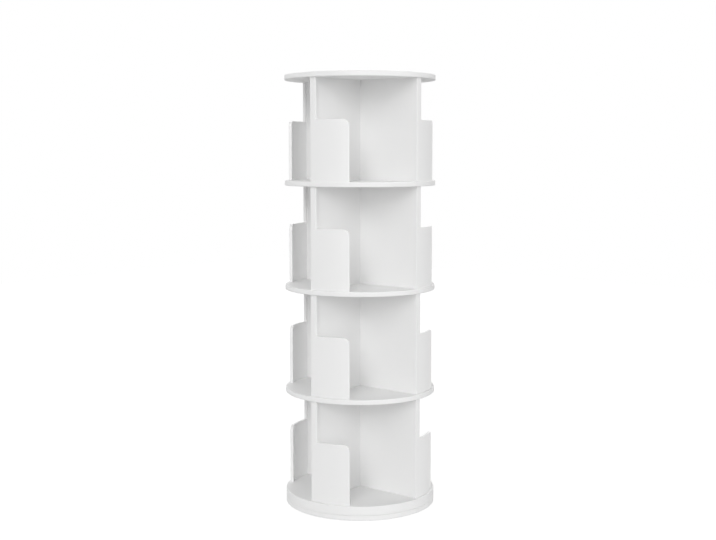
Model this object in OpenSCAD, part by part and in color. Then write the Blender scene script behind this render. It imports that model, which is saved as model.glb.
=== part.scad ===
// Revolving bookcase: a column of four open tiers that turns as one piece on a
// ring bearing, above a fixed round base. Each tier has a cross of upright
// dividers, and a curved guard on the outer end of each divider.
// Millimetres, +Z up, origin on the floor under the turning axis.

/* [Boards] */
// Diameter of the round boards
board_d = 460; // [430:5:540]
// Thickness of the round boards and of the dividers
board_t = 15; // [14:0.5:20]
// Clear height of one tier
tier_h = 303; // [270:1:340]
// Rounding of a board's outer edge
edge_r = 2.5; // [1:0.5:5]

/* [Guards] */
// Thickness of a curved guard
guard_t = 10; // [8:0.5:14]
// Height of a guard above its shelf
guard_h = 181; // [140:1:220]
// Arc length of the guard's strip that reaches up to the next board
strip_w = 21; // [18:1:40]
// Arc length of the whole guard
guard_w = 128; // [90:1:160]
// Rounding of the guard's free top corner
corner_r = 18; // [6:1:30]
// Rounding along the guard's top edge
ease_r = 2; // [1:0.5:3.5]
// Distance from the boards' rim in to the guards' outer face
guard_inset = 8; // [4:0.5:16]

/* [Base] */
// Height of a pad under the base
pad_h = 2; // [1:0.5:4]
// Diameter of a pad
pad_d = 36; // [24:1:50]
// Rounding of a pad's lower edge
pad_r = 0.8; // [0.4:0.1:1]
// Number of pads
pad_count = 6; // [4:1:12]
// Distance from the boards' rim in to the middle of a pad
pad_inset = 35; // [30:1:60]
// Thickness of the fixed base board
base_t = 15; // [14:0.5:25]
// Height of the running seam above the base board
seam_h = 0.5; // [0.5:0.5:4]
// Rounding of the edges at the running seam
seam_r = 0.5; // [0.5:0.5:2.5]
// Height of the skirt that hides the bearing
skirt_h = 12.5; // [9:0.5:16]
// Width of the skirt
skirt_w = 24; // [15:1:40]

/* [Bearing] */
// Radius of the circle that the balls run on
ball_circle_r = 130; // [115:1:145]
// Diameter of a ball
ball_d = 6; // [5:0.5:7]
// Number of balls
ball_count = 36; // [24:1:48]
// Clearance of a ball in its races and in the cage
ball_play = 0.15; // [0.1:0.05:0.3]
// Radial width of each ring
ring_w = 20; // [16:1:26]
// Gap between the two rings
ring_gap = 2.4; // [2:0.1:3]
// Gap between a ring and the board that it turns against
ring_lift = 2.5; // [1.5:0.5:3.5]
// Thickness of the ball cage
cage_t = 1.2; // [0.8:0.1:1.4]
// Height of the cage's rim above and below a ball's hole
cage_rim = 0.85; // [0.6:0.05:1.2]
// Diameter of the hole in the base that reaches the upper screws
access_d = 16; // [10:1:20]

/* [Screws] */
// Number of screws in each ring
screw_count = 6; // [4:1:12]
// Diameter of a screw's shank
screw_d = 4; // [3:0.5:5]
// Diameter of a screw's countersunk head
screw_head_d = 8; // [7:0.5:10]
// Height of a screw's countersunk head
screw_head_h = 2.2; // [1.5:0.1:3]
// Depth of a screw in its board
screw_bite = 11; // [8:0.5:12]
// Width across the flats of a screw's hexagon socket
socket_w = 2.5; // [2:0.5:3]
// Depth of the hexagon socket
socket_h = 1.5; // [1:0.1:2]

/* [Cam fittings] */
// Diameter of a cam nut
cam_d = 15; // [12:0.5:18]
// Length of a cam nut
cam_len = 12; // [11:0.5:12.5]
// Recess of a cam nut behind the divider's face
cam_recess = 0.5; // [0.3:0.1:1]
// Distance from a divider's edge to the middle of a cam nut
cam_setback = 34; // [24:1:40]
// Diameter of a cam bolt
bolt_d = 7; // [6:0.5:7.5]
// Depth of a cam bolt in the top and bottom boards
bolt_bite = 11; // [8:0.5:12]
// Diameter of the neck behind a cam bolt's head
neck_d = 4.6; // [3.6:0.2:5]
// Length of a cam bolt's head
head_l = 3.6; // [3:0.2:4]
// Distance from a cam nut's axis to the shoulder of the head that it holds
head_reach = 3.2; // [2.8:0.1:3.6]
// Angle that a cam nut turns through to lock its bolt
cam_turn = 110; // [90:5:150]
// Width of the cross slot in a cam nut
slot_w = 1.8; // [1.2:0.1:2.4]
// Length of the cross slot
slot_l = 9; // [6:0.5:10]
// Depth of the cross slot
slot_h = 2.2; // [1:0.1:2.5]
// How far a cover cap laps over the rim of its cam pocket
cap_lap = 1.5; // [1:0.1:3]
// Thickness of a cover cap
cap_t = 1.2; // [0.8:0.1:2]
// How far the face of a cover cap bulges
cap_crown = 0.5; // [0.2:0.1:0.6]

/* [Dowels] */
// Diameter of a board dowel
dowel_d = 8; // [6:0.5:9]
// Depth of a board dowel in a divider
dowel_bite = 12; // [8:0.5:20]
// Depth of a board dowel in the top and bottom boards
dowel_blind = 10; // [6:0.5:11]
// Distance from the axis to the inner dowel of a divider
dowel_in = 45; // [35:1:60]
// Distance from a divider's outer end to its outer dowel
dowel_out = 45; // [35:1:60]
// Height of the lower centre dowel above its shelf
centre_low = 85; // [60:1:120]
// Distance from the upper centre dowel up to the next board
centre_high = 85; // [60:1:120]
// Depth of a centre dowel in a short divider
centre_bite = 18; // [10:1:22]
// Diameter of a guard dowel
pin_d = 6; // [5:0.5:7]
// Depth of a guard dowel in its divider
pin_seat = 20; // [12:1:24]
// Depth of a guard dowel in its guard
pin_bite = 6; // [4:0.5:7]
// Distance of the guard dowels from the guard's edges
pin_edge = 40; // [20:1:55]
// Bevel on the ends of the dowels and bolts
pin_bevel = 0.8; // [0.4:0.1:1.2]

/* [Hidden] */
$fn = 144;
// Facets of the full circle that a cover cap's crown is a small part of
crown_fn = 1440;

// Clearance round a glued, screwed or pressed-in piece
fit = 0.1;
// How far a cutting solid reaches past what it cuts
over = 1;
// Extra angle that a guard is turned through before its end is trimmed
trim_angle = 4;

tier_count = 4;
wall_count = 4;
wall_names = "abcd";

board_r = board_d / 2;
base_top = pad_h + base_t;
bearing_h = seam_h + skirt_h;
column_z = base_top + bearing_h;
tier_step = tier_h + board_t;

guard_out_r = board_r - guard_inset;
guard_in_r = guard_out_r - guard_t;
divider_r = guard_in_r - fit;
guard_start = -asin(board_t / 2 / guard_out_r);
mm_angle = 180 / (PI * guard_out_r);
strip_end = guard_start + strip_w * mm_angle;
guard_end = guard_start + guard_w * mm_angle;

ring_h = bearing_h - ring_lift;
ball_z = base_top + bearing_h / 2;
inner_race_r = ball_circle_r - ring_gap / 2;
outer_race_r = ball_circle_r + ring_gap / 2;
inner_screw_r = inner_race_r - ring_w / 2;
outer_screw_r = outer_race_r + ring_w / 2;
screw_len = ring_h + screw_bite;
cage_h = ball_d + 2 * (ball_play + cage_rim);

dowel_far = divider_r - dowel_out;
dowel_places = [dowel_in, dowel_far];
cam_at = (dowel_in + dowel_far) / 2;
cam_depth = cam_recess + cam_len;
hollow_r = sqrt(pow(bolt_d / 2, 2) + pow(head_reach, 2)) + fit;
hollow_h = bolt_d + 4 * fit;
shank_out = cam_setback - cam_d / 2 - fit;
neck_l = cam_setback - head_reach - shank_out;
cap_d = cam_d + 2 * cap_lap;
cap_ball_r = (pow(cap_d / 2, 2) + pow(cap_crown, 2)) / (2 * cap_crown);
cap_plug = cam_recess - fit;
cam_heights = [cam_setback, tier_h - cam_setback];
centre_heights = [centre_low, tier_h - centre_high];
pin_heights = [pin_edge, guard_h - pin_edge, tier_h - pin_edge];

// Face of each divider that its cam nuts sit in: 1 is the guard's side
cam_sides = [1, 1, 1, -1];

white = "#f0f0ee";
beech = "#d9b98a";
zinc = "#b9bcc0";
alloy = "#c9ccd0";
steel = "#9da1a6";
nylon = "#dfe3e0";
rubber = "#3a3a3a";

base_nodes = ["base_board", "foot_pads", "bearing_inner_ring", "inner_ring_screws"];
bearing_nodes = ["ball_cage", "bearing_balls", "bearing_outer_ring", "outer_ring_screws"];
board_nodes = ["skirt_ring", "bottom_board", "shelf_board_1", "shelf_board_2", "shelf_board_3", "top_board"];
fitting_nodes = [
    "cam_nuts", "cam_caps", "end_cam_bolts", "through_cam_bolts",
    "end_dowels", "through_dowels", "centre_dowels", "guard_dowels"
];
function tier_nodes(tier) = concat(
    [str("tier", tier, "_long_divider")],
    [for (side = [0 : 1]) str("tier", tier, "_short_divider_", wall_names[side])],
    [for (wall = [0 : wall_count - 1]) str("tier", tier, "_guard_", wall_names[wall])]
);

// Underside of a round board, counted from 0 at the bottom
function board_z(level) = column_z + level * tier_step;
// Floor of a tier, counted from 1 at the bottom
function floor_z(tier) = board_z(tier - 1) + board_t;

// Copies round the axis, one for each divider end
module each_wall() {
    for (wall = [0 : wall_count - 1])
        rotate([0, 0, wall * 360 / wall_count]) children();
}

// Copies round the axis at one radius
module ring_of(count, radius) {
    for (i = [0 : count - 1])
        rotate([0, 0, i * 360 / count]) translate([radius, 0, 0]) children();
}

// What is left outside a rounded corner that points to +X and -Y
module corner_waste(radius) {
    difference() {
        translate([-radius, 0]) square([radius + over, radius]);
        translate([-radius, radius]) circle(radius);
    }
    translate([-radius, -over]) square([radius + over, over]);
}

// Turned ring or disc with its outer edges rounded
module turned(inner_r, outer_r, height, low_r, high_r) {
    rotate_extrude() difference() {
        translate([inner_r, 0]) square([outer_r - inner_r, height]);
        if (low_r > 0) translate([outer_r, 0]) corner_waste(low_r);
        if (high_r > 0) translate([outer_r, height]) mirror([0, 1]) corner_waste(high_r);
    }
}

// Round pin from z = 0 up, bevelled at both ends
module bevelled_pin(diameter, length) {
    tip_d = diameter - 2 * pin_bevel;
    cylinder(d1 = tip_d, d2 = diameter, h = pin_bevel);
    translate([0, 0, pin_bevel]) cylinder(d = diameter, h = length - 2 * pin_bevel);
    translate([0, 0, length - pin_bevel]) cylinder(d1 = diameter, d2 = tip_d, h = pin_bevel);
}

// Countersunk screw with its head's face at z = 0, pointing up
module screw() {
    difference() {
        union() {
            cylinder(d = screw_d, h = screw_len);
            cylinder(d1 = screw_head_d, d2 = screw_d, h = screw_head_h);
        }
        translate([0, 0, -over]) cylinder(d = socket_w / cos(30), h = socket_h + over, $fn = 6);
    }
}

// Hole of a screw; its cone runs on past the head's face, so that the hole is open there
module screw_hole() {
    hole_d = screw_d + 2 * fit;
    flare = (screw_head_d - screw_d) / screw_head_h;
    cylinder(d = hole_d, h = screw_len + fit);
    translate([0, 0, -over])
        cylinder(d1 = screw_head_d + 2 * fit + over * flare, d2 = hole_d, h = screw_head_h + over);
}

module at_inner_screws() {
    ring_of(screw_count, inner_screw_r)
        translate([0, 0, base_top + ring_h]) rotate([180, 0, 0]) children();
}

module at_outer_screws() {
    ring_of(screw_count, outer_screw_r)
        translate([0, 0, column_z - ring_h]) children();
}

// Upright dowel and bolt places over the whole cross of dividers
module at_board_dowels() {
    each_wall() for (place = dowel_places) translate([place, 0, 0]) children();
}

module at_cam_bolts() {
    each_wall() translate([cam_at, 0, 0]) children();
}

// Pocket axis of each cam nut of one wall, from the divider's face inwards;
// a child's +Y points to the divider's nearer edge
module at_wall_cams(wall) {
    rotate([0, 0, wall * 360 / wall_count])
        for (height = cam_heights)
            translate([cam_at, cam_sides[wall] * board_t / 2, height])
                rotate([cam_sides[wall] * 90, 0, 0])
                    rotate([0, 0, (height > tier_h / 2 ? 0 : 180) + (cam_sides[wall] > 0 ? 0 : 180)])
                        children();
}

module at_wall_guard_pins(wall) {
    rotate([0, 0, wall * 360 / wall_count])
        for (height = pin_heights)
            translate([guard_in_r - pin_seat, 0, height]) rotate([0, 90, 0]) children();
}

// Holes in the dividers of one tier, from its floor up
module divider_holes() {
    for (wall = [0 : wall_count - 1]) {
        at_wall_cams(wall)
            translate([0, 0, -over]) cylinder(d = cam_d + 2 * fit, h = cam_depth + over);
        at_wall_guard_pins(wall)
            translate([0, 0, -fit]) cylinder(d = pin_d + 2 * fit, h = pin_seat + over);
    }
    at_cam_bolts() {
        translate([0, 0, -over]) cylinder(d = bolt_d + 2 * fit, h = cam_setback + over);
        translate([0, 0, tier_h - cam_setback]) cylinder(d = bolt_d + 2 * fit, h = cam_setback + over);
    }
    at_board_dowels() {
        translate([0, 0, -over]) cylinder(d = dowel_d + 2 * fit, h = dowel_bite + fit + over);
        translate([0, 0, tier_h - dowel_bite - fit])
            cylinder(d = dowel_d + 2 * fit, h = dowel_bite + fit + over);
    }
    centre_hole_l = board_t + 2 * (centre_bite + fit);
    for (height = centre_heights)
        translate([-centre_hole_l / 2, 0, height]) rotate([0, 90, 0])
            cylinder(d = dowel_d + 2 * fit, h = centre_hole_l);
}

module base_board() {
    color(white) difference() {
        translate([0, 0, pad_h]) turned(0, board_r, base_t, edge_r, seam_r);
        at_inner_screws() screw_hole();
        translate([outer_screw_r, 0, pad_h - over]) cylinder(d = access_d, h = base_t + 2 * over);
    }
}

module foot_pads() {
    color(rubber) ring_of(pad_count, board_r - pad_inset) turned(0, pad_d / 2, pad_h, pad_r, 0);
}

// Track that the balls run in, cut into both rings
module ball_track() {
    translate([0, 0, ball_z]) rotate_extrude()
        translate([ball_circle_r, 0]) circle(d = ball_d + 2 * ball_play);
}

module bearing_inner_ring() {
    color(alloy) difference() {
        translate([0, 0, base_top]) turned(inner_race_r - ring_w, inner_race_r, ring_h, 0, 0);
        ball_track();
        at_inner_screws() screw_hole();
    }
}

module bearing_outer_ring() {
    color(alloy) difference() {
        translate([0, 0, column_z - ring_h]) turned(outer_race_r, outer_race_r + ring_w, ring_h, 0, 0);
        ball_track();
        at_outer_screws() screw_hole();
    }
}

module inner_ring_screws() {
    color(zinc) at_inner_screws() screw();
}

module outer_ring_screws() {
    color(zinc) at_outer_screws() screw();
}

module ball_cage() {
    cage_r = ball_circle_r - cage_t / 2;
    color(nylon) difference() {
        translate([0, 0, ball_z - cage_h / 2]) turned(cage_r, cage_r + cage_t, cage_h, 0, 0);
        ring_of(ball_count, cage_r - over)
            translate([0, 0, ball_z]) rotate([0, 90, 0])
                cylinder(d = ball_d + 2 * ball_play, h = cage_t + 2 * over);
    }
}

module bearing_balls() {
    color(steel) ring_of(ball_count, ball_circle_r) translate([0, 0, ball_z]) sphere(d = ball_d);
}

module skirt_ring() {
    color(white) translate([0, 0, base_top + seam_h])
        turned(board_r - skirt_w, board_r, skirt_h, seam_r, 0);
}

module bottom_board() {
    color(white) difference() {
        translate([0, 0, column_z]) turned(0, board_r, board_t, 0, edge_r);
        at_outer_screws() screw_hole();
        translate([0, 0, floor_z(1)]) {
            at_cam_bolts() translate([0, 0, -bolt_bite - fit])
                cylinder(d = bolt_d + 2 * fit, h = bolt_bite + fit + over);
            at_board_dowels() translate([0, 0, -dowel_blind - fit])
                cylinder(d = dowel_d + 2 * fit, h = dowel_blind + fit + over);
        }
    }
}

module shelf_board(level) {
    color(white) translate([0, 0, board_z(level)]) difference() {
        turned(0, board_r, board_t, edge_r, edge_r);
        at_cam_bolts() translate([0, 0, -over])
            cylinder(d = bolt_d + 2 * fit, h = board_t + 2 * over);
        at_board_dowels() translate([0, 0, -over])
            cylinder(d = dowel_d + 2 * fit, h = board_t + 2 * over);
    }
}

module top_board() {
    color(white) translate([0, 0, board_z(tier_count)]) difference() {
        turned(0, board_r, board_t, edge_r, edge_r);
        at_cam_bolts() translate([0, 0, -over])
            cylinder(d = bolt_d + 2 * fit, h = bolt_bite + fit + over);
        at_board_dowels() translate([0, 0, -over])
            cylinder(d = dowel_d + 2 * fit, h = dowel_blind + fit + over);
    }
}

// Upright board between two distances from the axis, along +X
module upright(near, far) {
    translate([near, -board_t / 2, 0]) cube([far - near, board_t, tier_h]);
}

module long_divider(tier) {
    color(white) translate([0, 0, floor_z(tier)]) difference() {
        intersection() {
            rotate([0, 0, 90]) upright(-board_r, board_r);
            cylinder(r = divider_r, h = tier_h);
        }
        divider_holes();
    }
}

module short_divider(tier, side) {
    color(white) translate([0, 0, floor_z(tier)]) difference() {
        intersection() {
            rotate([0, 0, side * 180]) upright(board_t / 2, board_r);
            cylinder(r = divider_r, h = tier_h);
        }
        divider_holes();
    }
}

// Section of what is cut away above the guard, down to its rounded top edge
module guard_window_section() {
    difference() {
        translate([guard_in_r - over, guard_h - ease_r])
            square([guard_t + 2 * over, tier_h - guard_h + ease_r + over]);
        translate([guard_in_r, guard_h - 2 * ease_r]) {
            square([guard_t, ease_r]);
            translate([ease_r, 0]) square([guard_t - 2 * ease_r, 2 * ease_r]);
            translate([ease_r, ease_r]) circle(ease_r);
            translate([guard_t - ease_r, ease_r]) circle(ease_r);
        }
    }
}

// Guard of the divider end that points along +X, from its shelf up
module guard_body() {
    difference() {
        rotate_extrude(start = guard_start - trim_angle, angle = guard_end - guard_start + trim_angle)
            translate([guard_in_r, 0]) square([guard_t, tier_h]);
        translate([guard_in_r - board_t, -board_t / 2 - guard_w, -over])
            cube([guard_t + 2 * board_t, guard_w, tier_h + 2 * over]);
        rotate_extrude(start = strip_end, angle = guard_end - strip_end + trim_angle)
            guard_window_section();
        rotate([0, 0, guard_end]) translate([guard_in_r - board_t, 0, guard_h])
            rotate([90, 0, 90]) linear_extrude(guard_t + 2 * board_t)
                mirror([0, 1]) corner_waste(corner_r);
        at_wall_guard_pins(0) translate([0, 0, -over])
            cylinder(d = pin_d + 2 * fit, h = pin_seat + pin_bite + fit + over);
    }
}

module guard(tier, wall) {
    color(white) translate([0, 0, floor_z(tier)])
        rotate([0, 0, wall * 360 / wall_count]) guard_body();
}

// Hollow zinc nut with a cross slot. Its face is at z = 0 and its bolt comes in from +Y:
// the head enters at the wide mouth, and the neck runs along the slot as the nut turns
module cam_nut() {
    difference() {
        cylinder(d = cam_d, h = cam_len);
        translate([0, 0, board_t / 2 - cam_recess]) {
            translate([0, 0, -hollow_h / 2]) cylinder(r = hollow_r, h = hollow_h);
            rotate([-90, 0, 0]) cylinder(d = neck_d + 2 * fit, h = cam_d / 2 + over);
            rotate([0, 0, cam_turn]) rotate([-90, 0, 0]) cylinder(d = bolt_d + 2 * fit, h = cam_d / 2 + over);
            rotate_extrude(start = 90, angle = cam_turn)
                translate([hollow_r - over, -(neck_d + fit) / 2])
                    square([cam_d / 2 - hollow_r + 2 * over, neck_d + fit]);
        }
        for (turn = [0, 90]) rotate([0, 0, turn])
            translate([-slot_l / 2, -slot_w / 2, -over]) cube([slot_l, slot_w, slot_h + over]);
    }
}

module each_tier_cam() {
    for (tier = [1 : tier_count]) translate([0, 0, floor_z(tier)])
        for (wall = [0 : wall_count - 1]) at_wall_cams(wall) children();
}

module cam_nuts() {
    color(zinc) each_tier_cam() translate([0, 0, cam_recess]) cam_nut();
}

module cam_caps() {
    color(white) each_tier_cam() {
        rotate_extrude() intersection() {
            translate([0, -cap_t]) square([cap_d / 2, cap_t]);
            translate([0, cap_ball_r - cap_t]) circle(cap_ball_r, $fn = crown_fn);
        }
        cylinder(d = cam_d, h = cap_plug);
    }
}

// Neck and head of a cam bolt, from the end of its shank up
module bolt_head() {
    translate([0, 0, -pin_bevel]) cylinder(d = neck_d, h = pin_bevel + neck_l + pin_bevel);
    translate([0, 0, neck_l]) bevelled_pin(bolt_d, head_l);
}

// Bolt that is fixed in an end board, from the board's face up
module end_bolt() {
    translate([0, 0, -bolt_bite]) bevelled_pin(bolt_d, bolt_bite + shank_out);
    translate([0, 0, shank_out]) bolt_head();
}

module end_cam_bolts() {
    color(zinc) at_cam_bolts() {
        translate([0, 0, floor_z(1)]) end_bolt();
        translate([0, 0, board_z(tier_count)]) mirror([0, 0, 1]) end_bolt();
    }
}

// Double-ended bolts through the middle shelves
module through_cam_bolts() {
    color(zinc) for (level = [1 : tier_count - 1])
        at_cam_bolts() translate([0, 0, board_z(level) + board_t / 2]) {
            shank_l = board_t + 2 * shank_out;
            translate([0, 0, -shank_l / 2]) bevelled_pin(bolt_d, shank_l);
            for (end = [0, 1]) mirror([0, 0, end]) translate([0, 0, shank_l / 2]) bolt_head();
        }
}

module end_dowels() {
    color(beech) at_board_dowels() {
        translate([0, 0, floor_z(1) - dowel_blind]) bevelled_pin(dowel_d, dowel_blind + dowel_bite);
        translate([0, 0, board_z(tier_count) - dowel_bite]) bevelled_pin(dowel_d, dowel_blind + dowel_bite);
    }
}

module through_dowels() {
    color(beech) for (level = [1 : tier_count - 1])
        at_board_dowels() translate([0, 0, board_z(level) - dowel_bite])
            bevelled_pin(dowel_d, board_t + 2 * dowel_bite);
}

// Dowels that join the two short dividers through the long one
module centre_dowels() {
    centre_l = board_t + 2 * centre_bite;
    color(beech) for (tier = [1 : tier_count], height = centre_heights)
        translate([-centre_l / 2, 0, floor_z(tier) + height]) rotate([0, 90, 0])
            bevelled_pin(dowel_d, centre_l);
}

module guard_dowels() {
    color(beech) for (tier = [1 : tier_count], wall = [0 : wall_count - 1])
        translate([0, 0, floor_z(tier)])
            at_wall_guard_pins(wall) bevelled_pin(pin_d, pin_seat + pin_bite);
}

base_board();
foot_pads();
bearing_inner_ring();
inner_ring_screws();
ball_cage();
bearing_balls();
bearing_outer_ring();
outer_ring_screws();
skirt_ring();
bottom_board();
for (level = [1 : tier_count - 1])
    shelf_board(level);
top_board();
for (tier = [1 : tier_count]) {
    long_divider(tier);
    for (side = [0 : 1])
        short_divider(tier, side);
    for (wall = [0 : wall_count - 1])
        guard(tier, wall);
}
cam_nuts();
cam_caps();
end_cam_bolts();
through_cam_bolts();
end_dowels();
through_dowels();
centre_dowels();
guard_dowels();
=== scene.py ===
# %% [markdown]
# # A white revolving bookcase
# The real bookcase is a column of round coated boards. Between them stand crosses of
# upright dividers, and a curved guard closes part of each divider's outer end. The whole
# column turns on a ring bearing above a fixed base board.
#
# The construction comes from the CAD model, which is loaded first and never moved. This
# file gives every surface its finish, and makes the pieces whose small forms show best in
# a mesh: the edge bands, the eased guards, the cover caps, the pads, the threaded screws
# and bolts, and the fluted dowels. Lengths are in metres, so a size in millimetres is
# written times mm.

# %% Load the frame
import math

import bmesh
import bpy
import numpy as np
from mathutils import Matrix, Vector


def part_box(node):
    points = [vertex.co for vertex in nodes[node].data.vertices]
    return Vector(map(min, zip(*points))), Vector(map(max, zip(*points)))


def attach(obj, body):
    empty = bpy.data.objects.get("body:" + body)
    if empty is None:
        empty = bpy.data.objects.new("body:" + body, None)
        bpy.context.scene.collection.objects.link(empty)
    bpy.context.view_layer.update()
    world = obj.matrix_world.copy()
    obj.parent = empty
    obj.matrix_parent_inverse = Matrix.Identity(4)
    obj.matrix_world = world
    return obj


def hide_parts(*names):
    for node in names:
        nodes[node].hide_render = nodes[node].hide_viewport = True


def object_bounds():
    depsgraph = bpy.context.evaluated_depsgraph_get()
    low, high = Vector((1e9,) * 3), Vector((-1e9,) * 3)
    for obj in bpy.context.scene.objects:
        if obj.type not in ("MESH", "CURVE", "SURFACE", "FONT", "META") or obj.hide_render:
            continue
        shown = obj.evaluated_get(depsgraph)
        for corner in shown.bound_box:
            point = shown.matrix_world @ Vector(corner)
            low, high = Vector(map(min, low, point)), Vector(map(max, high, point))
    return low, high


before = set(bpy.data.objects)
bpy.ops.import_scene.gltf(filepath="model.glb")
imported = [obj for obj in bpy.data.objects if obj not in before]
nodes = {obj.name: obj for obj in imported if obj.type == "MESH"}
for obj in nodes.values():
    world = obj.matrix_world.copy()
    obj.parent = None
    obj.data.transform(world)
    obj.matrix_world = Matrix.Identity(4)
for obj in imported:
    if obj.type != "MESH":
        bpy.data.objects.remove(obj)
cad_low, cad_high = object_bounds()
mm = 0.001
print(f"{len(nodes)} CAD nodes, {cad_high.z - cad_low.z:.3f} m tall")

# %% [markdown]
# ## Camera
# The photograph was taken from a little below the top board, and its upright edges stay
# upright. A level camera with a large shift would show just that, but every other view of
# the object keeps the shift. So the camera is tilted slightly and shifted only a little,
# which gives nearly the same ellipses on every board. Its place is given by the angle round
# the axis, the distance from it and the height above the floor.

# %% Place the camera
image_width_px = 716
focal_px = 1176.7
sensor_mm = 36.0
camera_angle = math.radians(39.0)
camera_distance = 3.614
camera_height = 1.090
camera_tilt = math.radians(5.15)
camera_shift = (-0.0028, -0.019)

camera = bpy.data.objects.new("camera", bpy.data.cameras.new("camera"))
bpy.context.scene.collection.objects.link(camera)
camera.data.sensor_width = sensor_mm
camera.data.lens = focal_px / image_width_px * sensor_mm
camera.data.shift_x, camera.data.shift_y = camera_shift
camera.location = (
    camera_distance * math.sin(camera_angle),
    -camera_distance * math.cos(camera_angle),
    camera_height,
)
camera.rotation_euler = (math.pi / 2 - camera_tilt, 0.0, camera_angle)
bpy.context.scene.camera = camera
bpy.context.scene.view_settings.view_transform = "Standard"
print(f"camera at {tuple(round(c, 3) for c in camera.location)}, lens {camera.data.lens:.1f} mm")

# %% [markdown]
# ## Node helpers
# Every finish below is a small node tree. Such trees could be clicked together by hand, but
# in code they can be read and repeated. One helper adds a node, sets its values and links
# its inputs, and another opens a node group with named sockets, so that a tree reads as a
# list of steps.


# %% Helpers for node trees
def add_node(tree, kind, inputs=None, **settings):
    """Add one node; an input that is a socket is linked, and any other value is set."""
    made = tree.nodes.new(kind)
    for name, value in settings.items():
        setattr(made, name, value)
    for key, value in (inputs or {}).items():
        if isinstance(value, bpy.types.NodeSocket):
            tree.links.new(value, made.inputs[key])
        else:
            made.inputs[key].default_value = value
    return made


def math_node(tree, operation, *values):
    """Output of a Math node on up to three values or sockets."""
    made = add_node(tree, "ShaderNodeMath", dict(enumerate(values)), operation=operation)
    return made.outputs[0]


def open_group(name, inputs, outputs):
    """New shader group; inputs are (name, type, value) and outputs are (name, type)."""
    tree = bpy.data.node_groups.new(name, "ShaderNodeTree")
    for label, kind, value in inputs:
        socket = tree.interface.new_socket(label, in_out="INPUT", socket_type="NodeSocket" + kind)
        if value is not None:
            socket.default_value = value
    for label, kind in outputs:
        tree.interface.new_socket(label, in_out="OUTPUT", socket_type="NodeSocket" + kind)
    return tree, tree.nodes.new("NodeGroupInput").outputs, tree.nodes.new("NodeGroupOutput").inputs


print("node helpers: add_node, math_node, open_group")

# %% [markdown]
# ## Studio
# A tall product is lit by very large lamps that stand far away, so that its top and its
# foot get the same light. Area lamps close by would fall off along the column. A sun with a
# wide disc has soft shadows and no falloff. A wide one stands low behind the camera. A
# smaller one, above it and a little to the left, draws the shadows of the boards. Four more
# fill the sides and the back.
#
# The world gives the even light of pale walls. Camera and mirror rays see it as plain white
# instead, so the background is white without more light on the object.


# %% Pale walls
def sees_background(tree):
    """1 for camera, mirror and see-through rays, which show the white background."""
    path = tree.nodes.new("ShaderNodeLightPath").outputs
    seen = math_node(tree, "MAXIMUM", path["Is Camera Ray"], path["Is Glossy Ray"])
    return math_node(tree, "MAXIMUM", seen, path["Is Transmission Ray"])


wall_light = 0.25
plain_white = (1, 1, 1, 1)
world = bpy.data.worlds.new("pale_walls")
bpy.context.scene.world = world
world.use_nodes = True
tree = world.node_tree
tree.nodes.clear()
walls = add_node(tree, "ShaderNodeBackground", {"Color": plain_white, "Strength": wall_light})
backdrop = add_node(tree, "ShaderNodeBackground", {"Color": plain_white, "Strength": 1.0})
mixed = add_node(
    tree, "ShaderNodeMixShader", {0: sees_background(tree), 1: walls.outputs[0], 2: backdrop.outputs[0]}
)
add_node(tree, "ShaderNodeOutputWorld", {"Surface": mixed.outputs[0]})
print(f"walls at {wall_light}")

# %% Lamps
# Each lamp: degrees to the right of the camera, degrees up, degrees across, and strength
lamps = {
    "front_lamp": (0, 10, 40, 1.05),
    "key_lamp": (-15, 28, 26, 0.61),
    "left_lamp": (-35, 45, 40, 0.33),
    "right_lamp": (75, 20, 40, 0.82),
    "rear_lamp": (-115, 20, 40, 0.55),
    "back_lamp": (180, 30, 60, 0.82),
}
for name, (turn, rise, disc, strength) in lamps.items():
    lamp = bpy.data.objects.new(name, bpy.data.lights.new(name, "SUN"))
    lamp.data.angle = math.radians(disc)
    lamp.data.energy = strength
    angle = camera_angle + math.radians(turn)
    up = math.radians(rise)
    away = Vector((math.sin(angle) * math.cos(up), -math.cos(angle) * math.cos(up), math.sin(up)))
    lamp.rotation_euler = away.to_track_quat("Z", "Y").to_euler()
    bpy.context.scene.collection.objects.link(lamp)
print(f"{len(lamps)} soft lamps")

# %% [markdown]
# ## Floor
# The floor is a plain pale sheet. A lit white sheet would need more light than the object
# can take, so for the camera most of its white is its own, and a small share is lit, which
# takes the bookcase's shadow. From below it is clear, so that the underside can be looked at.

# %% Lay the floor
floor_half = 6.0
floor_glow = 0.84
floor_white = (0.8, 0.8, 0.8, 1)
floor_lit_share = (0.3, 0.3, 0.3, 1)

floor_mesh = bpy.data.meshes.new("pale_floor")
corners = np.array([[-1, -1, 0], [1, -1, 0], [1, 1, 0], [-1, 1, 0]]) * floor_half
floor_mesh.from_pydata(corners.tolist(), [], [[0, 1, 2, 3]])
floor = bpy.data.objects.new("pale_floor", floor_mesh)
bpy.context.scene.collection.objects.link(floor)

floor_look = bpy.data.materials.new("pale_floor")
floor_look.use_nodes = True
tree = floor_look.node_tree
tree.nodes.clear()
sheet = add_node(tree, "ShaderNodeBsdfDiffuse", {"Color": floor_white})
lit_share = add_node(tree, "ShaderNodeBsdfDiffuse", {"Color": floor_lit_share})
own_white = add_node(tree, "ShaderNodeEmission", {"Strength": floor_glow})
shown = add_node(tree, "ShaderNodeAddShader", {0: lit_share.outputs[0], 1: own_white.outputs[0]})
from_above = add_node(
    tree, "ShaderNodeMixShader", {0: sees_background(tree), 1: sheet.outputs[0], 2: shown.outputs[0]}
)
clear = add_node(tree, "ShaderNodeBsdfTransparent")
side = add_node(tree, "ShaderNodeNewGeometry").outputs["Backfacing"]
both = add_node(tree, "ShaderNodeMixShader", {0: side, 1: from_above.outputs[0], 2: clear.outputs[0]})
add_node(tree, "ShaderNodeOutputMaterial", {"Surface": both.outputs[0]})
floor_mesh.materials.append(floor_look)
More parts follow.
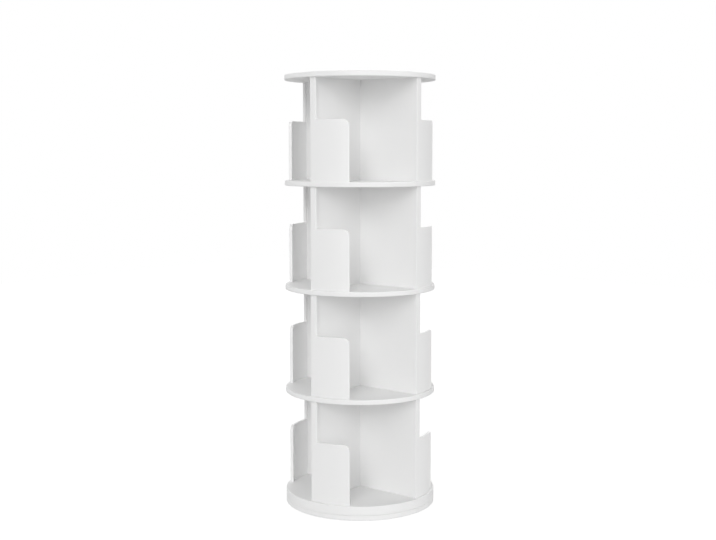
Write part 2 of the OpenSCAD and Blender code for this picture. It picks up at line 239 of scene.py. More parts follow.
print(f"floor {2 * floor_half:.0f} m square")

# %% [markdown]
# ## Satin coat
# The boards are faced with a white satin foil and the guards are lacquered white. From a
# step away both look plain. Close by, the white is a little uneven, the sheen varies where
# the surface was wiped, and fine orange peel breaks up the reflections. Pictures of a real
# coat could show this, but noise has no seams and stays sharp close by. One group makes all
# three, so that each white piece can take its own amounts.


# %% Group: satin coat
def noise(tree, vector, scale, detail):
    """Value of a noise texture, between 0 and 1."""
    inputs = {"Vector": vector, "Scale": scale, "Detail": detail}
    return add_node(tree, "ShaderNodeTexNoise", inputs).outputs["Fac"]


def scaled_colour(tree, colour, factor):
    """Colour times a factor."""
    inputs = {0: colour, "Scale": factor}
    return add_node(tree, "ShaderNodeVectorMath", inputs, operation="SCALE").outputs[0]


coat, given, result = open_group(
    "satin_coat",
    [
        ("Vector", "Vector", None),
        ("White", "Color", (0.8, 0.8, 0.8, 1)),
        ("Unevenness", "Float", 0.03),
        ("Least Roughness", "Float", 0.35),
        ("Roughness Spread", "Float", 0.1),
        ("Peel Scale", "Float", 600.0),
    ],
    [("Color", "Color"), ("Roughness", "Float"), ("Height", "Float")],
)
slow = noise(coat, given["Vector"], scale=6.0, detail=3.0)
shade = math_node(coat, "SUBTRACT", 1.0, math_node(coat, "MULTIPLY", slow, given["Unevenness"]))
wiped = noise(coat, given["Vector"], scale=40.0, detail=4.0)
rough = math_node(coat, "MULTIPLY_ADD", wiped, given["Roughness Spread"], given["Least Roughness"])
peel = noise(coat, given["Vector"], given["Peel Scale"], detail=1.0)
coat.links.new(scaled_colour(coat, given["White"], shade), result["Color"])
coat.links.new(rough, result["Roughness"])
coat.links.new(peel, result["Height"])
print("group", coat.name)

# %% [markdown]
# ## Edge band mask
# The rim of each round board is a thick plastic band, glued on and rounded over. Its inner
# edge leaves a hairline on the board's faces. A second material would need its own faces,
# and the boards have none there. The distance from the turning axis tells the band from the
# face just as well, so one mask works on every board.


# %% Group: edge band
def axis_distance(tree, vector):
    """Distance of a point from the turning axis: the length of its x and y."""
    parts = add_node(tree, "ShaderNodeSeparateXYZ", {0: vector}).outputs
    flat = add_node(tree, "ShaderNodeCombineXYZ", {0: parts["X"], 1: parts["Y"]}).outputs[0]
    return add_node(tree, "ShaderNodeVectorMath", {0: flat}, operation="LENGTH").outputs["Value"]


band, given, result = open_group(
    "edge_band",
    [("Vector", "Vector", None), ("Seam Radius", "Float", 0.228), ("Seam Width", "Float", 0.0002)],
    [("Band", "Float"), ("Seam", "Float")],
)
past = math_node(band, "SUBTRACT", axis_distance(band, given["Vector"]), given["Seam Radius"])
inside = math_node(band, "GREATER_THAN", past, 0.0)
near = math_node(band, "DIVIDE", math_node(band, "ABSOLUTE", past), given["Seam Width"])
line = math_node(band, "SUBTRACT", 1.0, math_node(band, "MINIMUM", near, 1.0))
band.links.new(inside, result["Band"])
band.links.new(line, result["Seam"])
print("group", band.name)

# %% [markdown]
# ## White finishes
# Boards, guards and caps are three whites of one family. Each could have a tree of its own,
# but then a change to one would leave the others behind. So a function makes a material and
# adds its Principled shader. Numbers that are the same all over a surface are set on the
# shader's own sockets, and only what varies comes through a group.


# %% Helpers for materials
def new_finish(name, **constants):
    """Material with a Principled shader; constants are socket values, _ stands for a space."""
    look = bpy.data.materials.new(name)
    look.use_nodes = True
    tree = look.node_tree
    shader = tree.nodes["Principled BSDF"]
    for label, value in constants.items():
        shader.inputs[label.replace("_", " ")].default_value = value
    place = add_node(tree, "ShaderNodeTexCoord").outputs["Object"]
    return look, tree, shader, place


def group_outputs(tree, group, inputs):
    """Place a group, give it its inputs and return its outputs."""
    return add_node(tree, "ShaderNodeGroup", inputs, node_tree=group).outputs


def connect(tree, shader, colour=None, rough=None, height=None, depth=0.0):
    """Link what varies to the shader; height becomes a bump of a depth in metres."""
    if colour is not None:
        tree.links.new(colour, shader.inputs["Base Color"])
    if rough is not None:
        tree.links.new(rough, shader.inputs["Roughness"])
    if height is not None:
        bump = add_node(tree, "ShaderNodeBump", {"Height": height, "Distance": depth, "Strength": 1.0})
        tree.links.new(bump.outputs[0], shader.inputs["Normal"])


print("material helpers: new_finish, group_outputs, connect")

# %% Materials: the three whites
# How much darker the band's seam is, its depth in peel depths, and how much smoother the band is
seam_shade = 0.2
seam_depth = 4.0
band_gloss = 0.06


def satin_white(name, white, least_rough, peel_depth, band_radius=None):
    """White coated surface, with an edge band outside band_radius if one is given."""
    look, tree, shader, place = new_finish(name, IOR=1.5)
    made = group_outputs(
        tree, coat, {"Vector": place, "White": (*white, 1), "Least Roughness": least_rough}
    )
    colour, rough, height = made["Color"], made["Roughness"], made["Height"]
    if band_radius:
        rim = group_outputs(tree, band, {"Vector": place, "Seam Radius": band_radius})
        fade = math_node(tree, "MULTIPLY_ADD", rim["Seam"], -seam_shade, 1.0)
        colour = scaled_colour(tree, colour, fade)
        rough = math_node(tree, "MULTIPLY_ADD", rim["Band"], -band_gloss, rough)
        height = math_node(tree, "MULTIPLY_ADD", rim["Seam"], -seam_depth, height)
    connect(tree, shader, colour, rough, height, peel_depth)
    return look


white_tone = (0.86, 0.86, 0.858)
cap_tone = (0.82, 0.82, 0.815)
board_rim = cad_high.x
band_thickness = 3.0 * mm
finishes = {
    "white_board": satin_white(
        "satin_board",
        white_tone,
        least_rough=0.58,
        peel_depth=0.012 * mm,
        band_radius=board_rim - band_thickness,
    ),
    "white_guard": satin_white("lacquered_guard", white_tone, least_rough=0.32, peel_depth=0.010 * mm),
    "white_cap": satin_white("cap_plastic", cap_tone, least_rough=0.42, peel_depth=0.02 * mm),
}
print("whites:", ", ".join(look.name for look in finishes.values()))

# %% [markdown]
# ## Turning marks
# The two bearing rings are turned on a lathe, which leaves fine circular marks. Grooves cut
# into the mesh would take millions of faces. Their distance from the axis is all that
# matters, so the group reads only that: a wave makes the grooves, and a slow noise along the
# same distance makes some bands duller than others.

# %% Group: turning marks
marks, given, result = open_group(
    "turning_marks",
    [
        ("Vector", "Vector", None),
        ("Pitch", "Float", 0.0004),
        ("Least Roughness", "Float", 0.22),
        ("Roughness Spread", "Float", 0.16),
    ],
    [("Roughness", "Float"), ("Height", "Float")],
)
grooves = math_node(marks, "DIVIDE", axis_distance(marks, given["Vector"]), given["Pitch"])
dull = add_node(
    marks, "ShaderNodeTexNoise", {"W": grooves, "Scale": 0.31, "Detail": 3.0}, noise_dimensions="1D"
).outputs["Fac"]
rough = math_node(marks, "MULTIPLY_ADD", dull, given["Roughness Spread"], given["Least Roughness"])
wave = math_node(marks, "SINE", math_node(marks, "MULTIPLY", grooves, 2 * math.pi))
marks.links.new(rough, result["Roughness"])
marks.links.new(math_node(marks, "ADD", wave, dull), result["Height"])
print("group", marks.name)

# %% [markdown]
# ## Zinc plate
# Screws, bolts and cam nuts are zinc plated. The plate grows in patches, some brighter and
# some cloudier. One plain grey would look like plastic, so cells of a Voronoi texture give
# the patches, and noise clouds them.


# %% Group: zinc plate
def mixed_colour(tree, share, first, second):
    """Colour between two others: the first where share is 0, the second where it is 1."""
    # A Mix node has its colours at inputs 6 and 7, and its mixed colour at output 2
    colour_inputs = {0: share, 6: first, 7: second}
    return add_node(tree, "ShaderNodeMix", colour_inputs, data_type="RGBA").outputs[2]


plate, given, result = open_group(
    "zinc_plate",
    [
        ("Vector", "Vector", None),
        ("Bright", "Color", (0.72, 0.74, 0.77, 1)),
        ("Cloudy", "Color", (0.52, 0.54, 0.56, 1)),
        ("Patch Scale", "Float", 900.0),
        ("Least Roughness", "Float", 0.24),
        ("Roughness Spread", "Float", 0.3),
    ],
    [("Color", "Color"), ("Roughness", "Float"), ("Height", "Float")],
)
patches = add_node(
    plate, "ShaderNodeTexVoronoi", {"Vector": given["Vector"], "Scale": given["Patch Scale"]}
)
cell = add_node(plate, "ShaderNodeSeparateColor", {0: patches.outputs["Color"]}).outputs["Red"]
clouds = noise(plate, given["Vector"], scale=260.0, detail=4.0)
bloom = math_node(plate, "MULTIPLY", cell, clouds)
rough = math_node(plate, "MULTIPLY_ADD", bloom, given["Roughness Spread"], given["Least Roughness"])
plate.links.new(mixed_colour(plate, bloom, given["Bright"], given["Cloudy"]), result["Color"])
plate.links.new(rough, result["Roughness"])
plate.links.new(clouds, result["Height"])
print("group", plate.name)

# %% [markdown]
# ## Beech
# Beech has fine, straight grain and short darker flecks, which are the ends of its rays.
# Both are noise that is stretched along the grain. The dowels point in several directions,
# so Object coordinates would run across some of them. The group reads a vector instead whose
# third part always runs along the dowel.


# %% Group: beech
def stretched(tree, vector, share):
    """Vector whose third part is a share of what it was, which draws a pattern out along it."""
    inputs = {0: vector, 1: (1.0, 1.0, share)}
    return add_node(tree, "ShaderNodeVectorMath", inputs, operation="MULTIPLY").outputs[0]


grain_share = 0.7
fleck_share = 0.5
beech, given, result = open_group(
    "beech",
    [
        ("Vector", "Vector", None),
        ("Pale", "Color", (0.62, 0.43, 0.25, 1)),
        ("Dark", "Color", (0.44, 0.27, 0.14, 1)),
        ("Least Roughness", "Float", 0.5),
        ("Roughness Spread", "Float", 0.2),
    ],
    [("Color", "Color"), ("Roughness", "Float"), ("Height", "Float")],
)
grain = noise(beech, stretched(beech, given["Vector"], share=0.04), scale=700.0, detail=4.0)
rays = noise(beech, stretched(beech, given["Vector"], share=0.3), scale=1500.0, detail=1.0)
fleck = add_node(
    beech, "ShaderNodeMapRange", {"Value": rays, "From Min": 0.58, "From Max": 0.68}
).outputs["Result"]
dark = math_node(beech, "MULTIPLY", grain, grain_share)
dark = math_node(beech, "MULTIPLY_ADD", fleck, fleck_share, dark)
rough = math_node(beech, "MULTIPLY_ADD", grain, given["Roughness Spread"], given["Least Roughness"])
beech.links.new(mixed_colour(beech, dark, given["Pale"], given["Dark"]), result["Color"])
beech.links.new(rough, result["Roughness"])
beech.links.new(grain, result["Height"])
print("group", beech.name)

# %% [markdown]
# ## Hidden finishes
# The parts inside show only when the bookcase is taken apart. Rubber and nylon could have
# groups of their own, but they need the same three effects as the white pieces, in other
# amounts: rubber is nearly black and dull, nylon is milky and smoother. Polished balls need
# almost no roughness.


# %% Materials: rubber and nylon
def moulded(name, colour, least_rough, grain_scale, grain_depth):
    """Moulded plastic or rubber with a fine grain all over."""
    look, tree, shader, place = new_finish(name, IOR=1.5)
    amounts = {
        "Vector": place,
        "White": (*colour, 1),
        "Unevenness": 0.12,
        "Least Roughness": least_rough,
        "Peel Scale": grain_scale,
    }
    made = group_outputs(tree, coat, amounts)
    connect(tree, shader, made["Color"], made["Roughness"], made["Height"], grain_depth)
    return look


rubber_black = (0.03, 0.03, 0.032)
nylon_milky = (0.74, 0.76, 0.73)
finishes["pad_rubber"] = moulded(
    "pad_rubber", rubber_black, least_rough=0.62, grain_scale=2500.0, grain_depth=0.03 * mm
)
finishes["cage_nylon"] = moulded(
    "cage_nylon", nylon_milky, least_rough=0.38, grain_scale=1500.0, grain_depth=0.01 * mm
)
print("moulded: pad_rubber, cage_nylon")


# %% Materials: metals
def turned_alloy(groove_depth):
    """Aluminium ring with turning marks round the axis."""
    look, tree, shader, place = new_finish(
        "turned_alloy", Metallic=1.0, Base_Color=(0.80, 0.81, 0.83, 1)
    )
    made = group_outputs(tree, marks, {"Vector": place})
    connect(tree, shader, rough=made["Roughness"], height=made["Height"], depth=groove_depth)
    return look


def polished_steel():
    """Ball bearing steel with the faintest unevenness in its shine."""
    look, tree, shader, place = new_finish(
        "polished_steel", Metallic=1.0, Base_Color=(0.60, 0.61, 0.63, 1)
    )
    amounts = {"Vector": place, "Least Roughness": 0.05, "Roughness Spread": 0.06}
    connect(tree, shader, rough=group_outputs(tree, coat, amounts)["Roughness"])
    return look


def plated_zinc(plate_depth):
    """Zinc plate on the screws, bolts and cam nuts."""
    look, tree, shader, place = new_finish("plated_zinc", Metallic=1.0)
    made = group_outputs(tree, plate, {"Vector": place})
    connect(tree, shader, made["Color"], made["Roughness"], made["Height"], plate_depth)
    return look


finishes["ring_alloy"] = turned_alloy(groove_depth=0.004 * mm)
finishes["ball_steel"] = polished_steel()
finishes["zinc_fitting"] = plated_zinc(plate_depth=0.01 * mm)
print("metals: ring_alloy, ball_steel, zinc_fitting")


# %% Material: wood
def beech_wood(grain_depth):
    """Beech whose grain follows the vector stored on each dowel."""
    look, tree, shader, _ = new_finish("beech_wood", IOR=1.45)
    along = add_node(tree, "ShaderNodeAttribute", attribute_name="grain").outputs["Vector"]
    made = group_outputs(tree, beech, {"Vector": along})
    connect(tree, shader, made["Color"], made["Roughness"], made["Height"], grain_depth)
    return look


finishes["beech_dowel"] = beech_wood(grain_depth=0.05 * mm)
print(f"{len(finishes)} finishes in all")

# %% [markdown]
# ## Surfaces
# Each new piece is a grid of points: rows along a profile and columns round it or across
# it. Neighbours on the grid become four-sided faces. A profile could also be turned with the
# Screw modifier, but a thread or a flute needs another radius in each column, which only a
# grid can give. A grid that closes on itself becomes a tube with flat ends.


# %% Helpers for grids
def sheet_faces(ids):
    """Four-sided faces between neighbours of a grid of point numbers, as an (n, 4) array."""
    corners = [ids[:-1, :-1], ids[:-1, 1:], ids[1:, 1:], ids[1:, :-1]]
    return np.stack(corners, axis=-1).reshape(-1, 4)


def turns(columns):
    """Angles of the columns round the axis."""
    return np.linspace(0, 2 * np.pi, columns, endpoint=False)


def spin(radius, height, columns):
    """Profile carried round the axis: (r cos t, r sin t, h), r and h given by row and column.

    Gives the points, and a grid of their numbers whose last column is the first again.
    """
    radius, height, turn = np.broadcast_arrays(radius, height, turns(columns))
    points = np.stack([radius * np.cos(turn), radius * np.sin(turn), height], axis=-1)
    ids = np.arange(radius.size).reshape(radius.shape)
    return points.reshape(-1, 3), np.pad(ids, ((0, 0), (0, 1)), mode="wrap")


def tube(radius, height, columns):
    """Points and faces of a closed skin: a spun profile and its two flat ends."""
    points, ids = spin(radius, height, columns)
    return points, [sheet_faces(ids), ids[[0, -1], :-1]]


print("grid helpers: sheet_faces, turns, spin, tube")

# %% [markdown]
# ## Places
# Small fittings are drawn once and copied to where the CAD model has them. Their places
# could be typed in again, but a measured place can't be wrong after a change of size. A CAD
# node holds many loose solids, so the triangles that share points are gathered first, and
# each solid's box then says where one copy goes.

# %% Helpers for places
same_place_decimals = 6


def node_points(node):
    """Points of a CAD node in the frame."""
    points = np.empty(3 * len(node.data.vertices), dtype=np.float32)
    node.data.vertices.foreach_get("co", points)
    place = np.array(node.matrix_world)
    return points.reshape(-1, 3) @ place[:3, :3].T + place[:3, 3]


def solids_of(node):
    """Lowest and highest corners of a node's separate solids, as two arrays.

    Points at the same place get one number. Every point then takes the smallest number in
    its triangles again and again, until each solid has one number of its own.
    """
    mesh = node.data
    rounded = np.round(node_points(node), same_place_decimals)
    places, same = np.unique(rounded, axis=0, return_inverse=True)
    corners = np.empty(len(mesh.loops), dtype=np.int32)
    mesh.loops.foreach_get("vertex_index", corners)
    triangles = same.ravel()[corners].reshape(-1, 3)
    label = np.arange(len(places))
    while True:
        new = label.copy()
        np.minimum.at(new, triangles.ravel(), np.repeat(label[triangles].min(axis=1), 3))
        new = new[new]
        if np.array_equal(new, label):
            break
        label = new
    groups = [places[label == number] for number in np.unique(label)]
    return np.array([g.min(axis=0) for g in groups]), np.array([g.max(axis=0) for g in groups])


def copies(points, faces, low, high, axis=2, sign=1):
    """One copy of a piece in each box: its z = 0 goes to one end, and its z runs along axis."""
    count = len(low)
    axis = np.broadcast_to(axis, count)
    sign = np.broadcast_to(sign, count)
    box = np.arange(count)
    origin = (low + high) / 2
    origin[box, axis] = np.where(sign > 0, low[box, axis], high[box, axis])
    flip = np.stack([np.ones(count), sign, sign], axis=1)
    order = (np.arange(3) - axis[:, None] - 1) % 3
    turned = np.take_along_axis(points * flip[:, None], order[:, None], axis=2)
    shift = box[:, None, None] * len(points)
    joined = [(kind + shift).reshape(-1, kind.shape[1]) for kind in faces]
    return (origin[:, None] + turned).reshape(-1, 3), joined


print("place helpers: node_points, solids_of, copies")

# %% [markdown]
# ## Pieces
# A mesh becomes a piece of the bookcase when it has a finish and rides on a body of the CAD
# model. Most pieces also take the place of CAD nodes, which are then hidden. A piece could be
# moved to its place as an object, but here every object stays at the origin, as the CAD nodes
# do, and the place is in the points.

# %% Helpers for pieces
join_distance = 1e-6
sharp_angle = math.radians(35)


def make_mesh(name, points, faces):
    """Mesh with joined doubles, outward faces, and edges over the sharp angle kept sharp."""
    mesh = bpy.data.meshes.new(name)
    mesh.from_pydata(points.tolist(), [], [face for kind in faces for face in kind.tolist()])
    work = bmesh.new()
    work.from_mesh(mesh)
    bmesh.ops.remove_doubles(work, verts=work.verts, dist=join_distance)
    bmesh.ops.recalc_face_normals(work, faces=work.faces)
    work.to_mesh(mesh)
    work.free()
    mesh.shade_smooth()
    mesh.set_sharp_from_angle(angle=sharp_angle)
    return mesh


def add_piece(name, mesh, slot, body, *replaced):
    """Object at the origin in the finish of a slot; CAD nodes that are named are hidden in its place."""
    made = bpy.data.objects.new(name, mesh)
    bpy.context.scene.collection.objects.link(made)
    mesh.materials.append(finishes[slot])
    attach(made, body)
    if replaced:
        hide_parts(*replaced)


print("piece helpers: make_mesh, add_piece")

# %% [markdown]
# ## Edge bands
# A plastic band is glued round each board, trimmed and rounded over. The CAD board already
# has that outline, but its round edges are cut into flat facets. A band that stands proud by
# a few hundredths of a millimetre gives the rims an unbroken curve. It could be a bevelled
# circle; a closed profile carried round the axis needs no modifier and keeps the edges exact.

# %% Band surface
band_columns = 360
round_rows = 8
band_proud = 0.03 * mm
edge_round = 2.5 * mm
seam_round = 0.5 * mm


def band_surface(low, high, low_round, high_round):
    """Closed profile (r, z) carried round the axis: P(t) = (r cos t, r sin t, z).

    It runs from the inner side along the underside, round the lower edge, up the rim, round
    the upper edge and back. A round of 0 leaves a square edge.
    """
    rim = board_rim + band_proud
    inner = board_rim - band_thickness
    under = np.linspace(0, np.pi / 2, round_rows if low_round else 1)
    upper = np.linspace(0, np.pi / 2, round_rows if high_round else 1)
    low = low - band_proud * (low_round > 0)
    high = high + band_proud * (high_round > 0)
    radius = np.concatenate(
        [[inner], rim - low_round * (1 - np.sin(under)), rim - high_round * (1 - np.cos(upper)), [inner]]
    )
    height = np.concatenate(
        [[low], low + low_round * (1 - np.cos(under)), high - high_round * (1 - np.sin(upper)), [high]]
    )
    points, ids = spin(radius[:, None], height[:, None], band_columns)
    return points, [sheet_faces(np.pad(ids, ((0, 1), (0, 0)), mode="wrap"))]


print(f"band {band_thickness / mm:.1f} mm thick, {band_proud / mm:.2f} mm proud")

# %% Place the bands
rounds = {
    "base_board": ("base", edge_round, seam_round),
    "skirt_ring": ("carousel", seam_round, 0.0),
    "bottom_board": ("carousel", 0.0, edge_round),
    "shelf_board_1": ("carousel", edge_round, edge_round),
    "shelf_board_2": ("carousel", edge_round, edge_round),
    "shelf_board_3": ("carousel", edge_round, edge_round),
    "top_board": ("carousel", edge_round, edge_round),
}
for node_name, (body, low_round, high_round) in rounds.items():
    low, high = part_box(node_name)
    band_mesh = make_mesh(node_name, *band_surface(low[2], high[2], low_round, high_round))
    add_piece(f"{node_name}_edge_band", band_mesh, "white_board", body)
print(f"{len(rounds)} edge bands")

# %% [markdown]
# ## Guards
# A guard is bent from thin board to the curve of the rim. It has a narrow strip that is
# pinned to the divider and reaches the next board, and a low lip with a rounded corner that
# stops things from sliding out. All its free edges are eased by hand with abrasive paper. A
# Bevel modifier could ease them, but it makes uneven faces where the corner meets the bend.
#
# Flattened, the guard is a shape in two directions: the way along the rim, and the height.
# Its free edge is a path: down the strip, round a small fillet, along the lip, round the
# corner and down the free end. A half-round profile follows that path, and two sheets fill
# the shape between the path and the opposite side. The last step bends it all round the axis.

# %% Measure a guard
near_top = 1.0 * mm
past_fillet = 5.0 * mm
guard_points = node_points(nodes["tier1_guard_a"])
guard_z = guard_points[:, 2] - guard_points[:, 2].min()
guard_r = np.hypot(guard_points[:, 0], guard_points[:, 1])
guard_turn = np.arctan2(guard_points[:, 1], guard_points[:, 0])
outer_r, inner_r = guard_r.max(), guard_r.min()
strip_top = guard_z.max()
start_y = guard_points[:, 1].min()
strip_end = outer_r * guard_turn[guard_z > strip_top - near_top].max()
guard_end = outer_r * guard_turn.max()
lip_top = guard_z[outer_r * guard_turn > strip_end + past_fillet].max()
print(f"along the rim: strip to {strip_end / mm:.1f} mm, lip to {guard_end / mm:.1f} mm")
print(f"strip {strip_top / mm:.1f} mm high, lip {lip_top / mm:.1f} mm high")

# %% Free edge of a guard
rows_down = 10
rows_fillet = 8
rows_over = 20
rows_corner = 13


def bend(along, height, radius):
    """Flat shape to the curve of the rim: (r cos(s / R), r sin(s / R), z)."""
    turn = along / outer_r
    return np.stack(np.broadcast_arrays(radius * np.cos(turn), radius * np.sin(turn), height), axis=-1)


def free_path(corner, fillet):
    """Points of the free edge and its inward normals, as two (n, 2) arrays.

    It is a straight line down, a quarter circle, a straight line along and a quarter circle.
    """
    down = np.linspace(strip_top, lip_top + fillet, rows_down, endpoint=False)
    inner = np.linspace(np.pi, 1.5 * np.pi, rows_fillet, endpoint=False)
    over = np.linspace(strip_end + fillet, guard_end - corner, rows_over, endpoint=False)
    outer = np.linspace(np.pi / 2, 0, rows_corner)
    inner_way = np.stack([np.cos(inner), np.sin(inner)], axis=1)
    outer_way = np.stack([np.cos(outer), np.sin(outer)], axis=1)
    points = [
        np.stack([np.full_like(down, strip_end), down], axis=1),
        [strip_end + fillet, lip_top + fillet] + fillet * inner_way,
        np.stack([over, np.full_like(over, lip_top)], axis=1),
        [guard_end - corner, lip_top - corner] + corner * outer_way,
    ]
    normals = [
        np.tile([-1.0, 0.0], (rows_down, 1)),
        inner_way,
        np.tile([0.0, -1.0], (rows_over, 1)),
        -outer_way,
    ]
    return np.concatenate(points), np.concatenate(normals)


print(f"free edge of {rows_down + rows_fillet + rows_over + rows_corner} points")

# %% Guard surface
ease_rows = 7


def guard_surface(ease=2 * mm, start_ease=1 * mm, corner=18 * mm, fillet=3 * mm, levels=16):
    """Skin of one guard: P(t, q) = (1 - q) edge(t) + q opposite(t), bent round the axis.

    The rim is edge(t) moved inwards by e (1 - sin a) while its radius drops by e (1 - cos a).
    """
    path, normal = free_path(corner, fillet)
    arc = np.linspace(0, np.pi / 2, ease_rows)
    inset = ease * np.concatenate([1 - np.sin(arc), 1 - np.sin(arc[::-1])])
    drop = ease * (1 - np.cos(arc))
    radius = np.concatenate([outer_r - drop, (inner_r + drop)[::-1]])
    level = np.linspace(0, 1, levels + 1)

    points, faces = [], []

    def add_grid(grid):
        ids = sum(len(p) for p in points) + np.arange(grid[..., 0].size).reshape(grid.shape[:2])
        points.append(grid.reshape(-1, 3))
        faces.append(sheet_faces(ids))
        return ids

    end = np.stack([np.full(levels, guard_end), path[-1, 1] * (1 - level[1:])], axis=1)
    rim_path = np.concatenate([path, end])
    rim_normal = np.concatenate([normal, np.tile([-1.0, 0.0], (levels, 1))])
    rim = rim_path[:, None] + rim_normal[:, None] * inset[:, None]
    rim_ids = add_grid(bend(rim[..., 0], rim[..., 1], radius))

    edge = path + normal * ease
    first_over = rows_down + rows_fillet
    first_corner = first_over + rows_over

    def add_sheet(sheet_r, start):
        foot = np.zeros_like(edge)
        foot[:first_over, 0] = start
        foot[:rows_down, 1] = edge[:rows_down, 1]
        foot[rows_down:first_over, 1] = np.linspace(lip_top + fillet, 0, rows_fillet, endpoint=False)
        foot[first_over:first_corner, 0] = np.linspace(
            start, guard_end - corner, rows_over, endpoint=False
        )
        foot[first_corner:, 0] = edge[first_corner:, 0]
        grid = (1 - level[:, None]) * edge[:, None] + level[:, None] * foot[:, None]
        return add_grid(bend(grid[..., 0], grid[..., 1], sheet_r)), foot

    outer_start = outer_r * np.arcsin((start_y + start_ease) / outer_r)
    inner_start = outer_r * np.arcsin(start_y / inner_r)
    outer_ids, foot = add_sheet(outer_r, outer_start)
    inner_ids, _ = add_sheet(inner_r, inner_start)

    start_r = np.append(outer_r - start_ease * (1 - np.cos(arc)), inner_r)
    start_at = np.append(start_y + start_ease * (1 - np.sin(arc)), start_y)
    along = outer_r * np.arcsin(start_at / start_r)
    start_ids = add_grid(bend(along, foot[: first_over + 1, 1:], start_r))

    top = [outer_ids[0, ::-1], rim_ids[0, 1:-1], inner_ids[0], start_ids[0, -2:0:-1]]
    bottom = [
        outer_ids[first_over:, -1],
        rim_ids[-1, 1:-1],
        inner_ids[first_over:, -1][::-1],
        start_ids[-1, -2:0:-1],
    ]
    faces.extend([np.concatenate(top)[None], np.concatenate(bottom)[None]])
    return np.concatenate(points), faces


guard_mesh = make_mesh("guard", *guard_surface())
print(f"one guard of {len(guard_mesh.polygons)} faces")

# %% Place the guards
tier_count = 4
wall_letters = "abcd"
unit = np.empty(3 * len(guard_mesh.vertices), dtype=np.float32)
guard_mesh.vertices.foreach_get("co", unit)
unit = unit.reshape(-1, 3)
for tier in range(1, tier_count + 1):
    for wall, letter in enumerate(wall_letters):
        node_name = f"tier{tier}_guard_{letter}"
        c = round(math.cos(wall * math.pi / 2))
        s = round(math.sin(wall * math.pi / 2))
        quarter_turns = np.array([[c, s, 0], [-s, c, 0], [0, 0, 1]])
        placed = unit @ quarter_turns + [0, 0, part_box(node_name)[0][2]]
        mesh = guard_mesh.copy()
        mesh.vertices.foreach_set("co", placed.astype(np.float32).ravel())
        mesh.update()
        add_piece(f"{node_name}_eased", mesh, "white_guard", "carousel", node_name)
print(f"{tier_count * len(wall_letters)} guards")

# %% [markdown]
# ## Cover caps
# A plastic cap hides each cam nut. Its plug snaps into the pocket, and its thin face is
# slightly domed so that it looks flat and round-edged on the divider. It could be a squashed
# ball on a cylinder; one profile turned round makes the plug, the edge and the dome at once.

# %% Cap surface
cap_columns = 48
cap_radius = 9.0 * mm
cap_top = 1.6 * mm
cap_crown = 0.5 * mm
cap_edge = 0.25 * mm
cap_edge_height = 0.88 * mm
dome_end = 0.5 * mm
dome_rows = 9
plug_radius = 7.5 * mm
plug_length = 0.4 * mm
plug_tip_radius = 7.2 * mm
plug_tip_length = 0.2 * mm
round_off = np.linspace(0, np.pi / 2, 5)


def cap_surface():
    """Tube along the plug, a quarter-round edge and a dome: h = top - crown (r / cap radius)^2."""
    dome_r = np.linspace(cap_radius - cap_edge, dome_end, dome_rows)[1:]
    radius = np.concatenate(
        [
            [plug_tip_radius, plug_radius, plug_radius, cap_radius],
            cap_radius - cap_edge * (1 - np.cos(round_off)),
            dome_r,
        ]
    )
    height = np.concatenate(
        [
            [0, plug_tip_length, plug_length, plug_length],
            cap_edge_height + cap_edge * np.sin(round_off),
            cap_top - cap_crown * (dome_r / cap_radius) ** 2,
        ]
    )
    return tube(radius[:, None], height[:, None], cap_columns)


low, high = solids_of(nodes["cam_caps"])
axis = np.argmin(high - low, axis=1)
sign = np.sign(np.take_along_axis(low + high, axis[:, None], axis=1)[:, 0])
cap_mesh = make_mesh("cover_caps", *copies(*cap_surface(), low, high, axis, sign))
add_piece("cover_caps", cap_mesh, "white_cap", "carousel", "cam_caps")
print(f"{len(low)} caps")

# %% [markdown]
# ## Pads
# Soft pads keep the base board off the floor. Rings moulded into the underside give them
# grip. A bump in the material would only draw the rings, so they are in the profile: their
# lowest points lie on the floor, and the grooves between them rise from it.

# %% Pad surface
pad_columns = 72
pad_radius = 18.0 * mm
pad_height = 2.0 * mm
pad_edge = 0.8 * mm
rib_height = 0.4 * mm
rib_pitch = 2.7 * mm
rib_end = 1.0 * mm
rib_rows = 66


def pad_surface():
    """Tube down the side, round the lower edge and in along the ribs.

    The way in from the edge is d. A rib's height is half the rib height times
    1 - cos(2 pi d / pitch).
    """
    flat_r = pad_radius - pad_edge
    rib_r = np.linspace(flat_r, rib_end, rib_rows)[1:]
    corner = round_off[1:]
    radius = np.concatenate([[pad_radius, pad_radius], flat_r + pad_edge * np.cos(corner), rib_r])
    height = np.concatenate(
        [
            [pad_height, pad_edge],
            pad_edge * (1 - np.sin(corner)),
            rib_height / 2 * (1 - np.cos(2 * np.pi * (flat_r - rib_r) / rib_pitch)),
        ]
    )
    return tube(radius[:, None], height[:, None], pad_columns)


low, high = solids_of(nodes["foot_pads"])
pad_mesh = make_mesh("ribbed_pads", *copies(*pad_surface(), low, high))
add_piece("ribbed_pads", pad_mesh, "pad_rubber", "base", "foot_pads")
print(f"{len(low)} pads")

# %% [markdown]
# ## Screws
# Countersunk wood screws hold the bearing rings. A hexagon socket is pressed into the head,
# the cone sits in the ring, and a coarse thread with a point bites into the board. A ridge
# could be wound round a core as a second shape, but it would cut through the core. On the
# unrolled shank a thread is a slanted ridge, so here the radius is a function of the height
# and of the turn: a ridge wherever height / pitch - turn / 2 pi is near a half.


# %% Helpers for threads
def ridge(height, turn, pitch, width):
    """1 on the crest of a thread and 0 between its crests."""
    part = (height / pitch - turn / (2 * np.pi)) % 1
    return np.clip(1 - np.abs(part - 0.5) / width, 0, 1)


def ramp(value, start, end):
    """0 before start and 1 after end, smooth between: 3 s^2 - 2 s^3."""
    share = np.clip((value - start) / (end - start), 0, 1)
    return share * share * (3 - 2 * share)


print("thread helpers: ridge, ramp")

